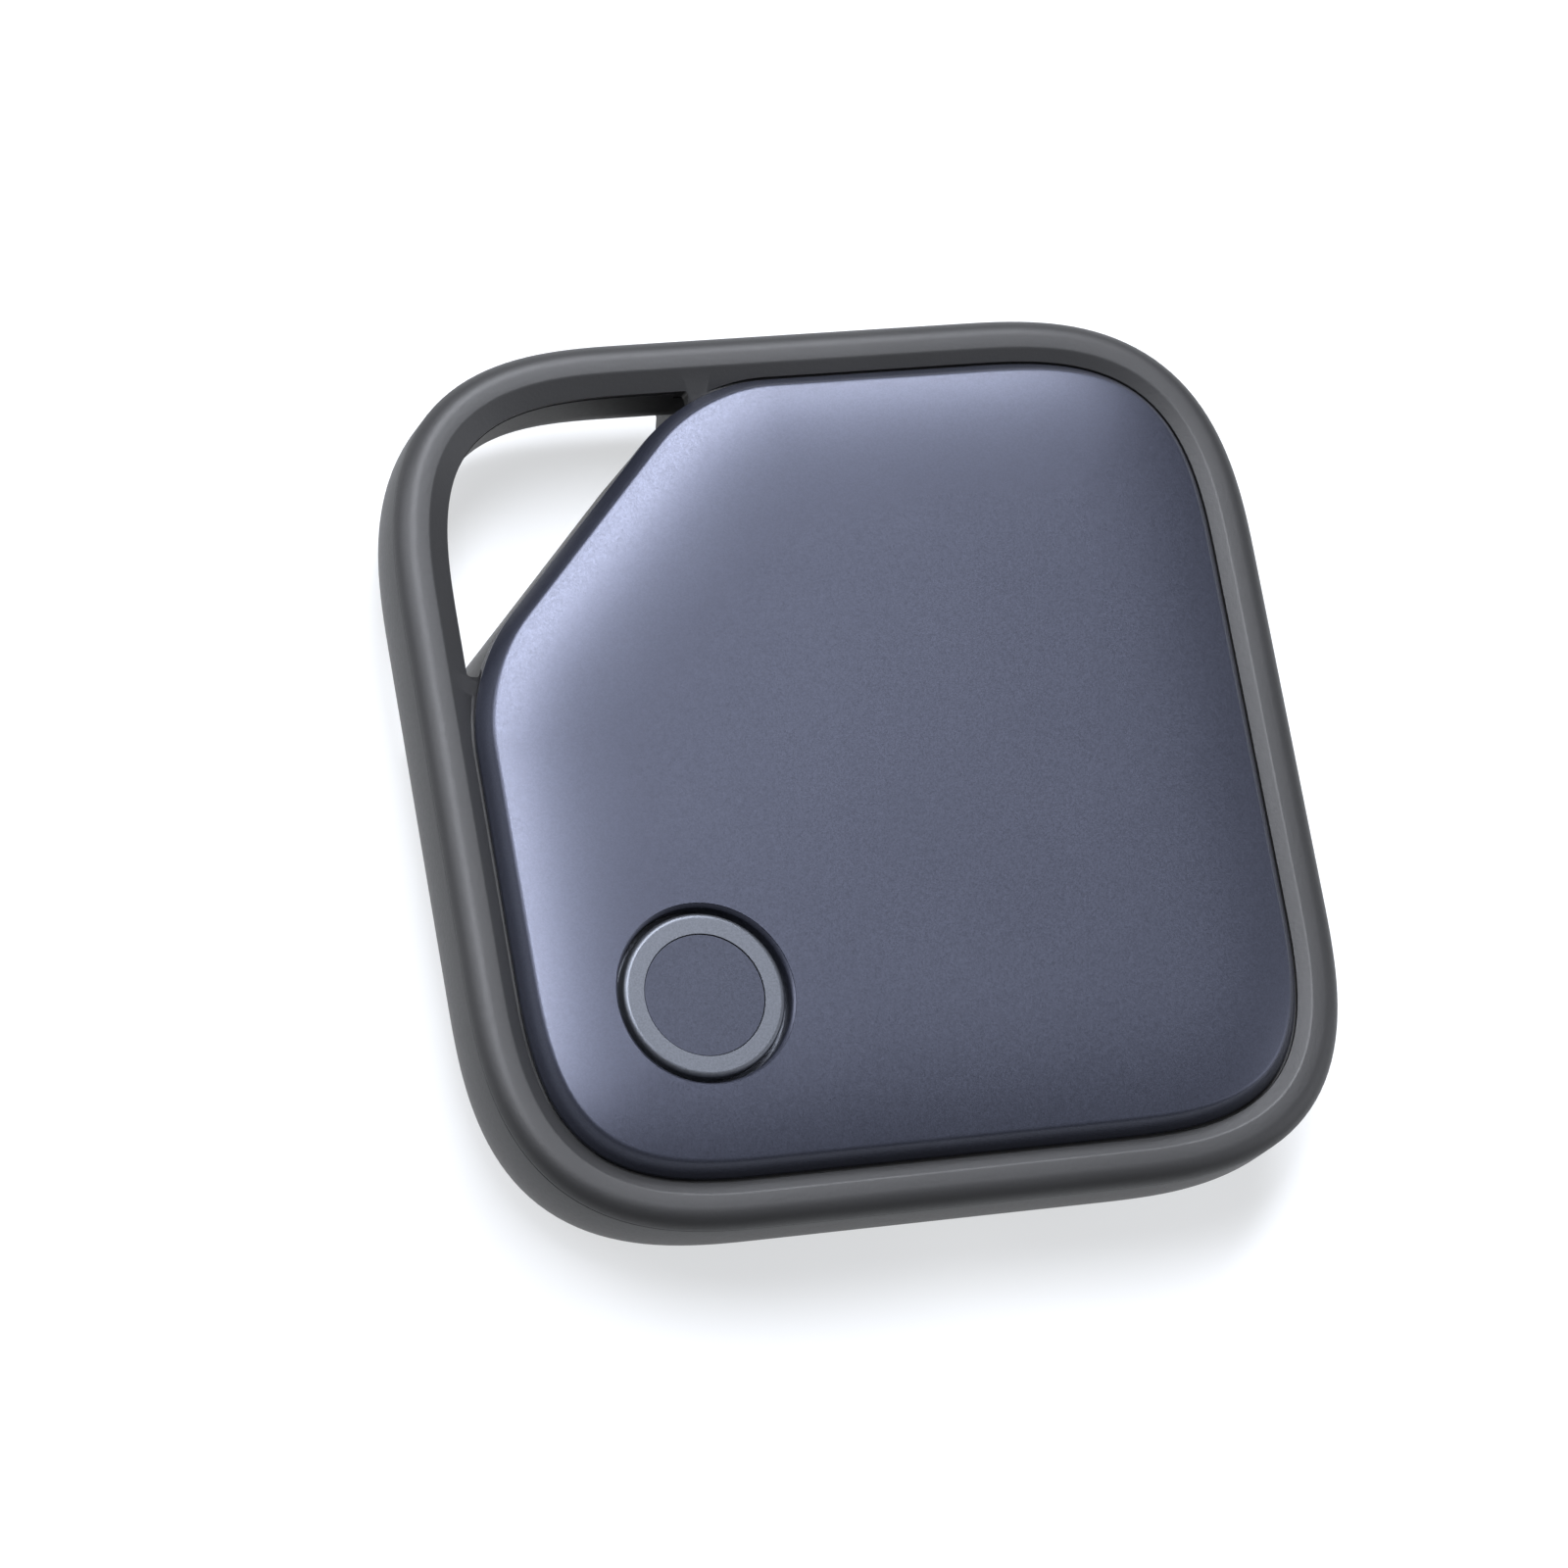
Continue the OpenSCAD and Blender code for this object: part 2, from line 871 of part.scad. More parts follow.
module door_seal() {
    color("#b4452e")
    rotate_extrude()
        translate([door_r - groove_depth + 0.045 + oring_r, oring_z])
            circle(oring_r);
}

rear_shell();
front_frame();
cover_tape();
front_cover();
button_cap();
button_inlay();
button_seal();
main_board();
board_screws();
bluetooth_chip();
main_crystal();
clock_crystal();
chip_antenna();
motion_sensor();
board_passives();
switch_base();
switch_plunger();
switch_frame();
piezo_adhesive();
piezo_plate();
piezo_ceramic();
piezo_contacts();
cell_can();
cell_gasket();
cell_cap();
positive_contact();
negative_contact();
battery_door();
door_seal();
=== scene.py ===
# %% [markdown]
# # A Bluetooth tracker tag
# The tag is a flat puck, 38 mm square and 8 mm thick, with a key ring loop in one corner.
# The frame that comes with it says where every part sits, and the pieces made here keep to it.
# This lesson makes the moulded and painted parts that the eye meets, then every finish,
# and then the table, the lights and the camera.

# %% Load the frame
from math import acos, atan2, cos, pi, radians, sin, sqrt

import bmesh
import bpy
from mathutils import Matrix, Vector


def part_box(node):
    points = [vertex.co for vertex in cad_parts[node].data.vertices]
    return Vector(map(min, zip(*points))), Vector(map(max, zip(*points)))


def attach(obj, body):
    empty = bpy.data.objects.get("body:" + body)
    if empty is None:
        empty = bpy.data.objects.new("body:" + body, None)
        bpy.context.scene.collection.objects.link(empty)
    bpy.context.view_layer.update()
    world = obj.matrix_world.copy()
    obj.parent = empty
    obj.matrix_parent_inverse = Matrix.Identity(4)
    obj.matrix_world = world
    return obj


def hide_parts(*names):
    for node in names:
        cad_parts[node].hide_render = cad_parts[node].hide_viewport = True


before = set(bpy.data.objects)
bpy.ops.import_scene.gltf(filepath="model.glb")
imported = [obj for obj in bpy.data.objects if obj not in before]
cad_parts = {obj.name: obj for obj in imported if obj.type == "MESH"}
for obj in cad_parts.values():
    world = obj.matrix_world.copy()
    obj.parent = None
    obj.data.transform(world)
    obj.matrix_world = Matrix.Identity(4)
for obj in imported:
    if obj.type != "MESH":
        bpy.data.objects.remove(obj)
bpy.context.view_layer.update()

print("nodes in the frame:", len(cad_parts))

# %% [markdown]
# ## Sizes
# Shapes are drawn in millimetres, where a bevel of a few hundredths is still a handy number,
# and scaled to metres at the very end. The driving sizes come from the frame's own parts.
# The corners are not plain arcs: each side bends slowly first and tightest on the diagonal.
# Blender's vertex bevel draws just that curve when its profile is a little over 0.5.

# %% Driving sizes
MM = 0.001


def box_mm(node):
    low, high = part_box(node)
    return low / MM, high / MM


half = box_mm("rear_shell")[1].x
seam_z = box_mm("rear_shell")[1].z
crest_z = box_mm("front_frame")[1].z
cover_low, cover_high = box_mm("front_cover")
crown_z = cover_high.z
cover_z = cover_low.z
cover_inset = half - cover_high.x
cap_low, cap_high = box_mm("button_cap")
button_at = (cap_low + cap_high) / 2
print(f"body {2 * half:.1f} mm wide, seam at {seam_z:.2f}, crest at {crest_z:.2f}")

corner_reach = 11.55
corner_profile = 0.616
corner_steps = 40
slant_reach = 4.37
slant_profile = 0.548
slant_steps = 20
side_step = 0.7
loop_way = Vector((-1, 1, 0)).normalized()
slant_distance = 17.66

# %% [markdown]
# ## Building by rings
# A moulding like this is one outline that shrinks as it climbs: up the wall, over the bead,
# down the slope. Insetting a face does exactly that, and it keeps every ring parallel.
# So each solid starts as one flat face, and a list of (inset, height) pairs is its section.

# %% Outlines
def divide_sides(bm):
    """Splits the straight sides, so that a later cut only disturbs small faces."""
    for side in [e for e in bm.edges if e.calc_length() > 2 * side_step]:
        cuts = int(side.calc_length() / side_step)
        bmesh.ops.subdivide_edges(bm, edges=[side], cuts=cuts)


def round_corners(bm, corners, reach, profile, steps):
    """Rounds some corners of a flat face; reach is how far from a corner the bend starts."""
    bmesh.ops.bevel(bm, geom=corners, offset=reach, offset_type="OFFSET", segments=steps,
                    profile=profile, affect="VERTICES", material=-1)


def keep_side(bm, point, away):
    """Cuts a flat face along a line and drops the part that lies on the side of away."""
    bmesh.ops.bisect_plane(bm, geom=bm.verts[:] + bm.edges[:] + bm.faces[:], dist=1e-5,
                           plane_co=point, plane_no=away, clear_outer=True)


def body_outline(bm):
    """The square outline of the whole body."""
    bmesh.ops.create_grid(bm, x_segments=1, y_segments=1, size=half)
    round_corners(bm, bm.verts[:], corner_reach, corner_profile, corner_steps)
    divide_sides(bm)


def cover_outline(bm):
    """The body outline with its loop corner cut off at a slant."""
    bmesh.ops.create_grid(bm, x_segments=1, y_segments=1, size=half)
    keep_side(bm, loop_way * slant_distance, loop_way)
    right_angled = [v for v in bm.verts if abs(abs(v.co.x) - abs(v.co.y)) < 1e-3]
    slant = [v for v in bm.verts if v not in right_angled]
    round_corners(bm, right_angled, corner_reach, corner_profile, corner_steps)
    round_corners(bm, slant, slant_reach, slant_profile, slant_steps)
    divide_sides(bm)


def set_in(bm, distance):
    """Shrinks a lone face by an even distance."""
    bm.faces.ensure_lookup_table()
    ring = bmesh.ops.inset_region(bm, faces=[bm.faces[0]], thickness=distance,
                                  use_boundary=True, use_even_offset=True)
    bmesh.ops.delete(bm, geom=ring["faces"], context="FACES")


# %% Rings
def climb(bm, face, z, section):
    """Insets one face step by step, so that its rings follow a section of (inset, height)."""
    inset = 0
    facing = 1 if face.normal.z > 0 else -1
    for next_inset, next_z in section:
        bmesh.ops.inset_region(bm, faces=[face], thickness=next_inset - inset,
                               depth=(next_z - z) * facing, use_boundary=True,
                               use_even_offset=True)
        inset, z = next_inset, next_z
    return face


def stack(outline, inset, base_z, up, down=()):
    """A closed solid from one outline: a section above base_z and one below it."""
    bm = bmesh.new()
    outline(bm)
    if inset:
        set_in(bm, inset)
    bmesh.ops.translate(bm, verts=bm.verts, vec=(0, 0, base_z))
    bm.faces.ensure_lookup_table()
    bm.faces[0].normal_update()
    top = climb(bm, bm.faces[0], base_z, up)
    rim = [e for e in bm.edges if e.is_boundary]
    bottom = bmesh.ops.holes_fill(bm, edges=rim, sides=0)["faces"][0]
    bmesh.ops.recalc_face_normals(bm, faces=bm.faces)
    climb(bm, bottom, base_z, down)
    return bm, top


def arc(centre, radius, start, end, steps):
    """Points of an arc in a section, without its first one; angles in degrees."""
    turns = [radians(start + (end - start) * k / steps) for k in range(1, steps + 1)]
    return [(centre[0] + radius * cos(t), centre[1] + radius * sin(t)) for t in turns]


def lathe(profile, centre, steps=96):
    """A closed solid turned round a vertical axis from (radius, height) points."""
    bm = bmesh.new()
    points = [bm.verts.new((centre.x + r, centre.y, z)) for r, z in profile]
    edges = [bm.edges.new(pair) for pair in zip(points, points[1:])]
    if profile[0][0] > 0:
        edges.append(bm.edges.new((points[-1], points[0])))
    bmesh.ops.spin(bm, geom=points + edges, cent=(centre.x, centre.y, 0), axis=(0, 0, 1),
                   angle=2 * pi, steps=steps, use_merge=True)
    bmesh.ops.remove_doubles(bm, verts=bm.verts, dist=1e-4)
    bmesh.ops.recalc_face_normals(bm, faces=bm.faces)
    return bm


# %% [markdown]
# ## Cutting one solid with another
# Pockets, holes and wells are cut with an exact boolean, which keeps both solids closed.
# The cutter is a throwaway solid made in the same way as the piece.

# %% Cutting
def as_object(bm, name):
    mesh = bpy.data.meshes.new(name)
    bm.to_mesh(mesh)
    bm.free()
    made = bpy.data.objects.new(name, mesh)
    bpy.context.scene.collection.objects.link(made)
    return made


def combine(piece, other, operation="DIFFERENCE"):
    """Cuts, joins or trims a piece with another solid, which is then thrown away."""
    tool = as_object(other, "tool")
    modifier = piece.modifiers.new("cut", "BOOLEAN")
    modifier.operation = operation
    modifier.solver = "EXACT"
    modifier.object = tool
    evaluated = piece.evaluated_get(bpy.context.evaluated_depsgraph_get())
    shape = bpy.data.meshes.new_from_object(evaluated)
    piece.modifiers.clear()
    piece.data = shape
    bpy.data.objects.remove(tool)


def back_to_solid(piece):
    """Turns a throwaway piece into a solid that can cut another one."""
    bm = bmesh.new()
    bm.from_mesh(piece.data)
    bpy.data.objects.remove(piece)
    return bm


def finish_piece(piece, material, body, node, smooth_below=32):
    """Scales a piece to metres, shades it, hangs it on the body it moves with, and hides the
    frame's part that it stands for.
    """
    piece.data.transform(Matrix.Scale(MM, 4))
    piece.data.materials.clear()
    piece.data.materials.append(material)
    piece.data.shade_smooth()
    piece.data.set_sharp_from_angle(angle=radians(smooth_below))
    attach(piece, body)
    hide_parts(node)
    print(f"{piece.name}: {len(piece.data.polygons)} faces, rides on {body}")


# %% [markdown]
# ## Finishes
# Every finish is named for its real material and how its surface was made.
# One function turns a colour written in hex into the linear light that shaders work in,
# and one function adds a shader node with its settings, its values and its links.
# Patterns read Object coordinates in metres, so a scale is one over a real size.

# %% Shader helpers
def linear(code, alpha=1.0):
    """The linear colour of an sRGB hex code such as #4a4b4d."""
    channels = [int(code[k:k + 2], 16) / 255 for k in (1, 3, 5)]
    lit = [c / 12.92 if c <= 0.04045 else ((c + 0.055) / 1.055) ** 2.4 for c in channels]
    return (*lit, alpha)


def add(tree, kind, values=None, links=None, **settings):
    """Adds one node: its own settings, the values of its sockets, and links into them."""
    made = tree.nodes.new(kind)
    for name, value in settings.items():
        setattr(made, name, value)
    for name, value in (values or {}).items():
        made.inputs[name].default_value = value
    for name, source in (links or {}).items():
        tree.links.new(source, made.inputs[name])
    return made


def per_mm(size):
    """The texture scale at which one feature is size millimetres wide."""
    return 1 / (size * MM)


def ramp(tree, source, low, high):
    """A two-colour ramp over the middle third of a pattern."""
    made = add(tree, "ShaderNodeValToRGB", links={"Fac": source})
    made.color_ramp.elements[0].position = 0.35
    made.color_ramp.elements[0].color = low
    made.color_ramp.elements[1].position = 0.65
    made.color_ramp.elements[1].color = high
    return made.outputs["Color"]


def spread(tree, source, low, high):
    """A pattern's 0 to 1 mapped on to a narrower range, for a roughness."""
    made = add(tree, "ShaderNodeMapRange", {"To Min": low, "To Max": high}, {"Value": source})
    return made.outputs["Result"]


def start_material(name):
    """Opens an empty material: itself, its node tree and its Object coordinates."""
    material = bpy.data.materials.new(name)
    material.use_nodes = True
    tree = material.node_tree
    tree.nodes.clear()
    place = add(tree, "ShaderNodeTexCoord").outputs["Object"]
    return material, tree, place


def end_material(tree, values, links):
    """Closes a material: a principled shader with its values and links, and the output."""
    shader = add(tree, "ShaderNodeBsdfPrincipled", values, links)
    add(tree, "ShaderNodeOutputMaterial", links={"Surface": shader.outputs["BSDF"]})


# %% [markdown]
# ### Moulded plastic
# Frame, shell and door are injection-moulded ABS with a spark-eroded satin texture.
# That gives the eye a soft grey sheen with a very fine grain, and slow, faint clouding
# where the melt cooled unevenly. The grain is 0.05 mm on the part; it is drawn at
# 0.16 mm, the finest that shows from an arm's length.

# %% Moulded plastic
def moulded(name, dark, light, rough=(0.46, 0.56), grain=0.16, depth=0.006, ior=1.53):
    """A satin moulding between two colours; grain and depth are in millimetres."""
    material, tree, place = start_material(name)
    grains = add(tree, "ShaderNodeTexNoise", {"Scale": per_mm(grain), "Detail": 2.0},
                 {"Vector": place})
    clouds = add(tree, "ShaderNodeTexNoise", {"Scale": per_mm(6), "Detail": 3.0},
                 {"Vector": place})
    relief = add(tree, "ShaderNodeBump", {"Strength": 1.0, "Distance": depth * MM},
                 {"Height": grains.outputs["Fac"]})
    end_material(tree, {"IOR": ior}, {
        "Base Color": ramp(tree, clouds.outputs["Fac"], linear(dark), linear(light)),
        "Roughness": spread(tree, grains.outputs["Fac"], *rough),
        "Normal": relief.outputs["Normal"]})
    return material


frame_abs = moulded("satin_moulded_abs_frame", "#1c1c1d", "#1f1f20")
shell_abs = moulded("satin_moulded_abs_shell", "#1b1b1c", "#1e1e1f")
door_abs = moulded("satin_moulded_abs_door", "#1a1a1b", "#1d1d1e", rough=(0.42, 0.5))

# %% [markdown]
# ### Metallic lacquer
# The cover is polycarbonate, sprayed with a slate blue lacquer full of aluminium flakes
# and closed with a satin clear coat. Each flake lies at its own small angle, so some
# catch the light and some do not; here that is painted into the colour, each flake cell a little
# lighter or darker, a fixed painted glint on a smooth sheen.
# Flakes are 0.02 to 0.05 mm; the cells here are 0.06 mm so that they show at all.

# %% Metallic lacquer
def lacquer(name, dark, light):
    """Metallic paint between two colours, under a satin clear coat."""
    material, tree, place = start_material(name)
    flakes = add(tree, "ShaderNodeTexVoronoi", {"Scale": per_mm(0.06)}, {"Vector": place})
    clouds = add(tree, "ShaderNodeTexNoise", {"Scale": per_mm(9), "Detail": 2.0},
                 {"Vector": place})
    peel = add(tree, "ShaderNodeTexNoise", {"Scale": per_mm(0.5), "Detail": 1.0},
               {"Vector": place})
    sparkle = add(tree, "ShaderNodeSeparateColor", links={"Color": flakes.outputs["Color"]})
    body = ramp(tree, clouds.outputs["Fac"], linear(dark), linear(light))
    # Each flake cell's random lightness scales the colour: a painted glint, fixed whatever the
    # lamps do.
    shade = spread(tree, sparkle.outputs["Red"], 0.92, 1.08)
    painted_glint_body = add(tree, "ShaderNodeVectorMath", links={0: body, 1: shade}, operation="MULTIPLY")
    relief = add(tree, "ShaderNodeBump", {"Strength": 0.25, "Distance": 0.0015 * MM},
                 {"Height": peel.outputs["Fac"]})
    end_material(tree, {"Metallic": 0.75, "IOR": 1.5, "Coat Weight": 0.25,
                        "Coat Roughness": 0.3, "Coat IOR": 1.5}, {
        "Base Color": painted_glint_body.outputs["Vector"],
        "Roughness": spread(tree, sparkle.outputs["Green"], 0.36, 0.46),
        "Normal": relief.outputs["Normal"]})
    return material


cover_paint = lacquer("slate_metallic_lacquer", "#3c3f4c", "#3e414e")
inlay_paint = lacquer("slate_metallic_lacquer_disc", "#373a46", "#393c48")

# %% [markdown]
# ### Metal
# The button's ring is aluminium, bead-blasted and then anodised, so it is a soft even grey
# with a fine pitted grain. The cell, contacts and screws are plated sheet: smoother, with
# faint rolling streaks along one direction.

# %% Metal
def blasted_metal(name, dark, light, rough):
    """Anodised metal with fine pits from the beads."""
    material, tree, place = start_material(name)
    pits = add(tree, "ShaderNodeTexNoise", {"Scale": per_mm(0.08), "Detail": 3.0},
               {"Vector": place})
    relief = add(tree, "ShaderNodeBump", {"Strength": 0.4, "Distance": 0.003 * MM},
                 {"Height": pits.outputs["Fac"]})
    end_material(tree, {"Metallic": 0.8}, {
        "Base Color": ramp(tree, pits.outputs["Fac"], linear(dark), linear(light)),
        "Roughness": spread(tree, pits.outputs["Fac"], *rough),
        "Normal": relief.outputs["Normal"]})
    return material


def rolled_metal(name, dark, light, rough=(0.22, 0.34)):
    """Plated sheet with faint streaks along x, as the rolls left them."""
    material, tree, place = start_material(name)
    stretched = add(tree, "ShaderNodeMapping", {"Scale": (0.06, 1.0, 1.0)}, {"Vector": place})
    streaks = add(tree, "ShaderNodeTexNoise", {"Scale": per_mm(0.15), "Detail": 4.0},
                  {"Vector": stretched.outputs["Vector"]})
    relief = add(tree, "ShaderNodeBump", {"Strength": 0.3, "Distance": 0.002 * MM},
                 {"Height": streaks.outputs["Fac"]})
    end_material(tree, {"Metallic": 1.0}, {
        "Base Color": ramp(tree, streaks.outputs["Fac"], linear(dark), linear(light)),
        "Roughness": spread(tree, streaks.outputs["Fac"], *rough),
        "Normal": relief.outputs["Normal"]})
    return material


ring_metal = blasted_metal("blasted_anodised_aluminium", "#54575d", "#5d6067", (0.38, 0.5))
plated_steel = rolled_metal("nickel_plated_steel", "#b9bbbd", "#c9cbcd")
cell_steel = rolled_metal("cell_can_steel", "#c2c4c6", "#d2d4d6", rough=(0.18, 0.28))
gold_plate = rolled_metal("gold_plated_spring_bronze", "#c9a64c", "#dcbb62")
sheet_brass = rolled_metal("piezo_sheet_brass", "#c0974a", "#d1aa5e")

# %% [markdown]
# ### Board, chips, rubber and the rest inside
# The board is glass laminate under green solder mask, where copper tracks show as slightly
# lighter lines. Chips are black epoxy. The seals are rubber with a dull, powdery surface,
# and the sounder's disc is fired ceramic under a thin silver layer. The table belongs here
# too: a sheet of opal acrylic whose own material glows, painted light with no lamp under it.

# %% Board and inner materials
def solder_mask(name):
    """Green lacquer over a grid of copper tracks 1.6 mm apart."""
    material, tree, place = start_material(name)
    tracks = add(tree, "ShaderNodeTexBrick", {
        "Scale": per_mm(1.6), "Mortar Size": 0.05, "Mortar Smooth": 0.2,
        "Color1": linear("#16402c"), "Color2": linear("#184631"),
        "Mortar": linear("#2c6a4a")}, {"Vector": place})
    relief = add(tree, "ShaderNodeBump", {"Strength": 0.4, "Distance": 0.02 * MM},
                 {"Height": tracks.outputs["Fac"]})
    end_material(tree, {"Roughness": 0.32, "IOR": 1.55}, {
        "Base Color": tracks.outputs["Color"], "Normal": relief.outputs["Normal"]})
    return material


def glowing_acrylic(name, dark, light, glow):
    """Opal sheet whose material glows by itself, painted light with no lamp under it, so that
    shadows on it stay pale.
    """
    material, tree, place = start_material(name)
    mottle = add(tree, "ShaderNodeTexNoise", {"Scale": per_mm(20), "Detail": 2.0},
                 {"Vector": place})
    sheet = ramp(tree, mottle.outputs["Fac"], linear(dark), linear(light))
    # The emission is painted light: the sheet glows by itself, and no lamp stands under it.
    end_material(tree, {"IOR": 1.49, "Emission Strength": glow, "Specular IOR Level": 0.2}, {
        "Base Color": sheet, "Emission Color": sheet,
        "Roughness": spread(tree, mottle.outputs["Fac"], 0.7, 0.8)})
    return material


green_mask = solder_mask("green_solder_mask")
chip_epoxy = moulded("black_chip_epoxy", "#1f1f21", "#262628", rough=(0.5, 0.6), grain=0.15)
antenna_ceramic = moulded("white_antenna_ceramic", "#d9d4c6", "#e6e1d4", rough=(0.3, 0.4))
tan_ceramic = moulded("capacitor_ceramic", "#947d52", "#a68f62", rough=(0.35, 0.45))
switch_nylon = moulded("natural_nylon", "#cbc6b8", "#d9d5c8", rough=(0.45, 0.55))
plunger_nylon = moulded("dark_nylon", "#2f3134", "#393b3e", rough=(0.45, 0.55))
fired_ceramic = moulded("silvered_fired_ceramic", "#dcdad2", "#e8e6df", rough=(0.4, 0.5))
silicone = moulded("black_silicone_rubber", "#232325", "#2c2c2e", rough=(0.6, 0.72), ior=1.41)
seal_rubber = moulded("red_silicone_rubber", "#a33f2a", "#b64b34", rough=(0.5, 0.62), ior=1.41)
foam_tape = moulded("black_foam_tape", "#161618", "#1f1f21", rough=(0.8, 0.95), grain=0.2)
glue_film = moulded("clear_acrylic_adhesive", "#cfcdc2", "#dad8cd", rough=(0.2, 0.3))
gasket_polymer = moulded("grey_cell_gasket", "#7d8186", "#8b8f94", rough=(0.45, 0.55))
print("materials:", len(bpy.data.materials))

# %% [markdown]
# ## Front frame
# The frame is one moulding that carries the cover and goes right round the key ring hole.
# Its section, from the outside: a round bead, a narrow flat crest, and a slope down past the
# cover's foot. Below the joint with the shell it steps in to a plate that drops into the shell.
# The hole is the room between the bar and the cover's own outline, and ends in two tips.

# %% Key ring hole
loop_w = 2.25
loop_web = 2.06
loop_tip = 5.1
tip_round = 0.16
below_all = -2
above_all = crown_z + 1


def trim(bm, point, away):
    """Cuts a closed solid with a plane, drops the part on the side of away, and closes it."""
    cut = bmesh.ops.bisect_plane(bm, geom=bm.verts[:] + bm.edges[:] + bm.faces[:], dist=1e-5,
                                 plane_co=point, plane_no=away, clear_outer=True)
    rim = [e for e in cut["geom_cut"] if isinstance(e, bmesh.types.BMEdge)]
    bmesh.ops.contextual_create(bm, geom=rim)


def round_tips(bm):
    """Rounds the long upright edges of the hole, which stand at its tips."""
    upright = [e for e in bm.edges if e.is_manifold and e.calc_face_angle() > radians(40)
               and abs(e.verts[0].co.z - e.verts[1].co.z) > 2]
    bmesh.ops.bevel(bm, geom=upright, offset=tip_round, offset_type="OFFSET", segments=4,
                    profile=0.5, affect="EDGES", material=-1)


def loop_hole(bar, web, tip):
    """The hole as a solid: the part of bar up to both tips, outside the cover's outline."""
    trim(bar, Vector((-tip, 0, 0)), Vector((1, 0, 0)))
    trim(bar, Vector((0, tip, 0)), Vector((0, -1, 0)))
    plug = as_object(bar, "plug")
    cover_side, _ = stack(cover_outline, web, below_all - 1, [(0, above_all)])
    combine(plug, cover_side)
    hole = back_to_solid(plug)
    round_tips(hole)
    return hole


print(f"hole: {loop_w} mm inside the bar, tips {loop_tip} mm off the centre lines")

# %% Front frame
joint_z = 6.28
bead_w = 0.86
crest_w = 0.52
crest_ease = 0.06
slope_foot = (3.0, 6.065)
plate_inset = 1.5
plate_z = 5.76
ledge_z = 6.4
pocket_inset = 1.92
window_inset = 4.1
edge_ease = 0.04
bead_rise = crest_z - joint_z - edge_ease
bead_r = (bead_w ** 2 + bead_rise ** 2) / (2 * bead_rise)
bead_low = 180 - 180 / pi * atan2(bead_r - bead_rise, bead_w)
bead = arc((bead_w, crest_z - bead_r), bead_r, bead_low, 90, 14)
crest_in = bead_w + crest_w
slope = [(crest_in - crest_ease, crest_z), (crest_in, crest_z - 0.008),
         (crest_in + crest_ease, crest_z - 0.038), slope_foot]
frame_up = [(0.001, joint_z + edge_ease)] + bead + slope
frame_down = [(0.01, joint_z + edge_ease / 4), (edge_ease, joint_z),
              (plate_inset, joint_z), (plate_inset, plate_z)]
frame_solid, _ = stack(body_outline, 0, joint_z + edge_ease / 2, frame_up, frame_down)
bezel = as_object(frame_solid, "frame_bezel")
pocket, _ = stack(cover_outline, pocket_inset, ledge_z, [(0, crown_z)])
combine(bezel, pocket)
frame_bar, _ = stack(body_outline, loop_w, below_all, [(0, crown_z)])
combine(bezel, loop_hole(frame_bar, loop_web, loop_tip))
window, _ = stack(cover_outline, window_inset, plate_z - 1, [(0, crown_z)])
combine(bezel, window)
finish_piece(bezel, frame_abs, "case", "front_frame")

# %% [markdown]
# ## Rear shell
# The shell is a shallow dish. Its wall rolls under to a flat floor in two arcs, wide and then
# tight, and its rim is a straight band just under the joint. It is hollow: the room holds the
# board, and a round well holds the coin cell. The door's seat is cut through the floor.

# %% Rear shell
belly_r = 5.95
belly_z = 4.55
foot_r = 2.45
foot_inset = 3.15
turn = 180 / pi * atan2(3, 4)
belly = arc((belly_r, belly_z), belly_r, 180, 180 + turn, 12)
foot = arc((foot_inset, foot_r), foot_r, 180 + turn, 270, 10)
shell_down = [(0, belly_z)] + belly + foot
shell_solid, _ = stack(body_outline, 0, seam_z - edge_ease,
                       [(0.012, seam_z - 0.012), (edge_ease, seam_z)], shell_down)
dish = as_object(shell_solid, "shell_dish")
wall_t = 1.45
room_inset = 2.6
room_cut = 14.2
plate_cut = 15.74


def room_outline(bm):
    """The inside of the shell, which stops short of the loop."""
    body_outline(bm)
    set_in(bm, room_inset)
    keep_side(bm, loop_way * room_cut, loop_way)


def rabbet_outline(bm):
    """The step in the rim that takes the frame's plate."""
    body_outline(bm)
    set_in(bm, wall_t)
    keep_side(bm, loop_way * plate_cut, loop_way)


# %% Inside of the shell
floor_z = 1.0
low_room_z = 2.4
low_room_slope = 1.6
plate_gap = 0.06
cell_r = 10.3
collar_r, collar_top = cell_r + 0.9, 4.6
ring_r, ring_top = 13.7, 3.0
boss_r, boss_top = 1.6, 4.9
bosses = ((11.4, -11.4), (11.4, 11.4), (-12.1, -12.1))
origin = Vector((0, 0, 0))
rabbet, _ = stack(rabbet_outline, 0, plate_z - plate_gap, [(0, crown_z)])
combine(dish, rabbet)
room_solid, _ = stack(room_outline, 0, low_room_z, [(0, crown_z)], [(low_room_slope, floor_z)])
room = as_object(room_solid, "room")
for radius, top in ((ring_r, ring_top), (collar_r, collar_top)):
    combine(room, lathe([(0, 0), (radius, 0), (radius, top), (0, top)], origin))
for x, y in bosses:
    post = [(0, 0), (boss_r, 0), (boss_r, boss_top), (0, boss_top)]
    combine(room, lathe(post, Vector((x, y, 0)), 32))
combine(dish, back_to_solid(room))

